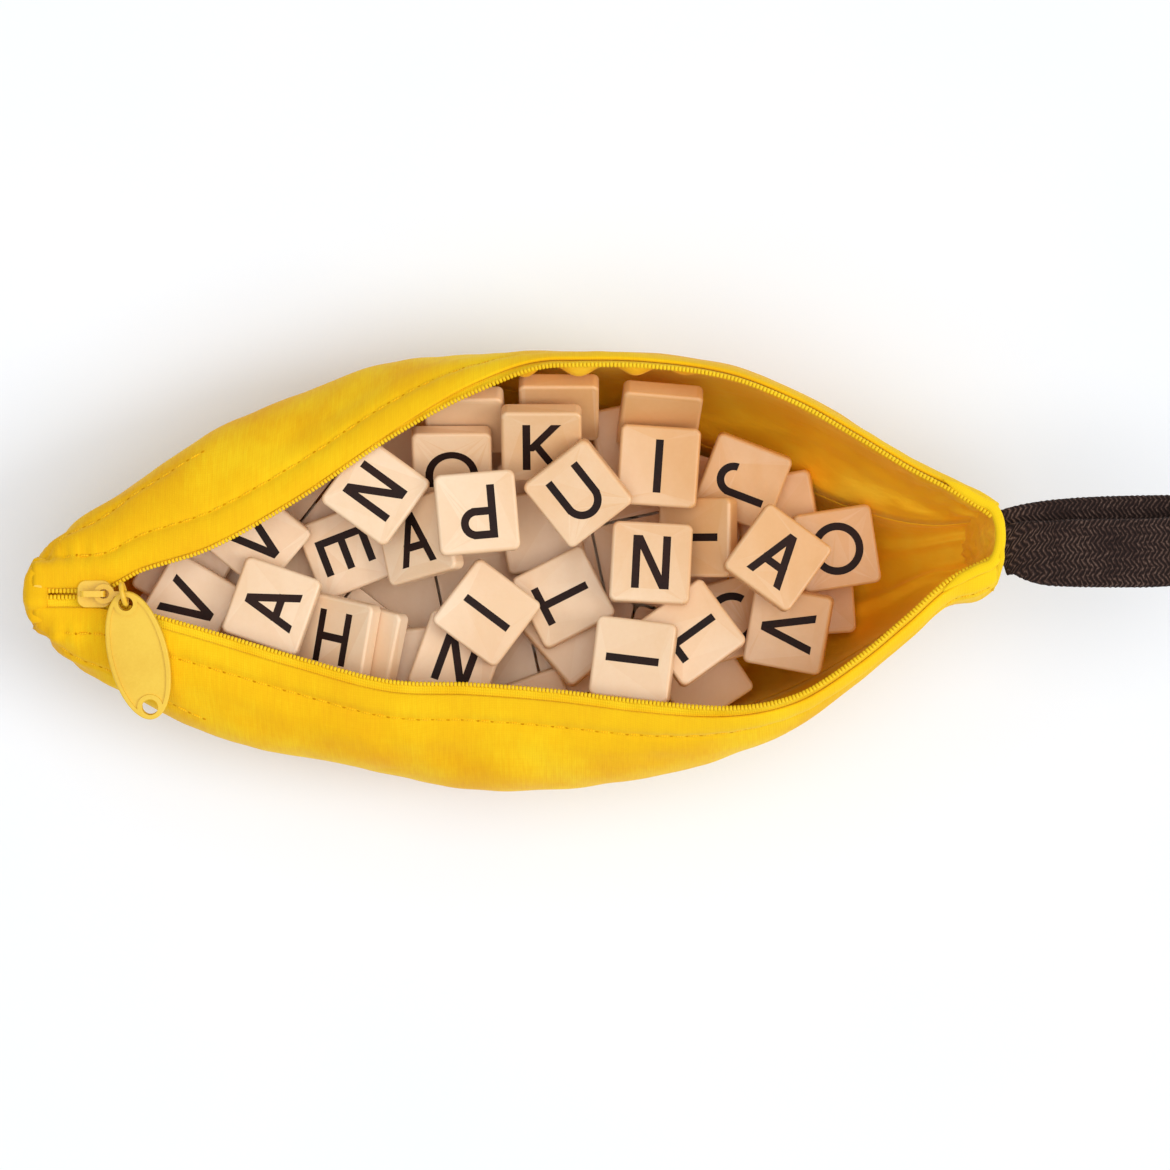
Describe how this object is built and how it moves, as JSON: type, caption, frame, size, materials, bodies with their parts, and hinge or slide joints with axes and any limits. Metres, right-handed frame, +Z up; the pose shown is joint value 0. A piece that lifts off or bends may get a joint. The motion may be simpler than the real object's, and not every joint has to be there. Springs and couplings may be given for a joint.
{
  "type": "travel word tile game case",
  "caption": "Soft zipped banana-shaped canvas pouch, open on top and full of loose letter tiles, with an oval zip pull and a webbing carry loop.",
  "frame": {"origin": "centre of the flat patch of the floor that the pouch rests on", "axes": "+X along the pouch from the zip slider's tail to the webbing loop's stem, +Y to the far wall, +Z up"},
  "size_m": [0.2853, 0.1074, 0.0625],
  "materials": {
    "canvas": "woven cotton canvas, yellow",
    "lining": "smooth woven polyester, orange yellow",
    "zip_tape": "woven tape, yellow",
    "zip_teeth": "moulded nylon coil",
    "slider_paint": "satin paint",
    "pull_enamel": "satin paint",
    "webbing": "herringbone webbing, dark brown",
    "tile": "satin ivory melamine",
    "letter_paint": "paint in the engraved letters"
  },
  "bodies": {
    "pouch": {"bottom_lining": "lining", "bottom_panel": "canvas", "far_lining": "lining", "far_side_panel": "canvas", "far_zip_coil": "zip_teeth", "far_zip_tape": "zip_tape", "loose_letters": "letter_paint", "loose_tiles": "tile", "near_lining": "lining", "near_side_panel": "canvas", "near_zip_coil": "zip_teeth", "near_zip_tape": "zip_tape", "stem_end_fold": "canvas", "tail_end_fold": "canvas", "tile_layer_1": "tile", "tile_layer_2": "tile", "tile_layer_3": "tile", "tile_layer_4": "tile", "tile_layer_5": "tile", "zip_end_stop": "slider_paint"},
    "slider": {"slider_body": "slider_paint", "slider_bridge": "slider_paint"},
    "link": {"pull_link": "slider_paint"},
    "pull": {"pull_tab": "pull_enamel"},
    "loop": {"webbing_loop": "webbing"},
    "front_left_tile": {"tile_front_left": "tile", "letter_front_left": "letter_paint"},
    "back_left_tile": {"tile_back_left": "tile", "letter_back_left": "letter_paint"},
    "back_middle_tile": {"tile_back_middle": "tile", "letter_back_middle": "letter_paint"},
    "centre_tile": {"tile_centre": "tile", "letter_centre": "letter_paint"},
    "right_tile": {"tile_right": "tile", "letter_right": "letter_paint"},
    "front_middle_tile": {"tile_front_middle": "tile", "letter_front_middle": "letter_paint"}
  },
  "joints": [
    {"name": "slider_slide", "type": "slide", "parent": "pouch", "child": "slider", "axis": [-1, 0, 0], "range_m": [0, 0.007]},
    {"name": "link_flip", "type": "hinge", "parent": "slider", "child": "link", "pos_m": [-0.0982, -0.00445, 0.05162], "axis": [0, -1, 0], "range_deg": [0, 115]},
    {"name": "pull_swing", "type": "hinge", "parent": "link", "child": "pull", "pos_m": [-0.0915, -0.00445, 0.05402], "axis": [0.9781, 0.2079, 0], "range_deg": [-150, 0]},
    {"name": "loop_flex", "type": "hinge", "parent": "pouch", "child": "loop", "pos_m": [0.1153, 0.0072, 0.054], "axis": [0, 1, 0], "range_deg": [-30, 30]},
    {"name": "front_left_tile_lift", "type": "slide", "parent": "pouch", "child": "front_left_tile", "axis": [0.1583, 0.3395, 0.9272], "range_m": [0, 0.05]},
    {"name": "back_left_tile_lift", "type": "slide", "parent": "pouch", "child": "back_left_tile", "axis": [0, 0, 1], "range_m": [0, 0.05]},
    {"name": "back_middle_tile_lift", "type": "slide", "parent": "pouch", "child": "back_middle_tile", "axis": [0, 0, 1], "range_m": [0, 0.05]},
    {"name": "centre_tile_lift", "type": "slide", "parent": "pouch", "child": "centre_tile", "axis": [0, 0, 1], "range_m": [0, 0.05]},
    {"name": "right_tile_lift", "type": "slide", "parent": "pouch", "child": "right_tile", "axis": [0, 0, 1], "range_m": [0, 0.05]},
    {"name": "front_middle_tile_lift", "type": "slide", "parent": "pouch", "child": "front_middle_tile", "axis": [0, 0, 1], "range_m": [0, 0.05]}
  ]
}
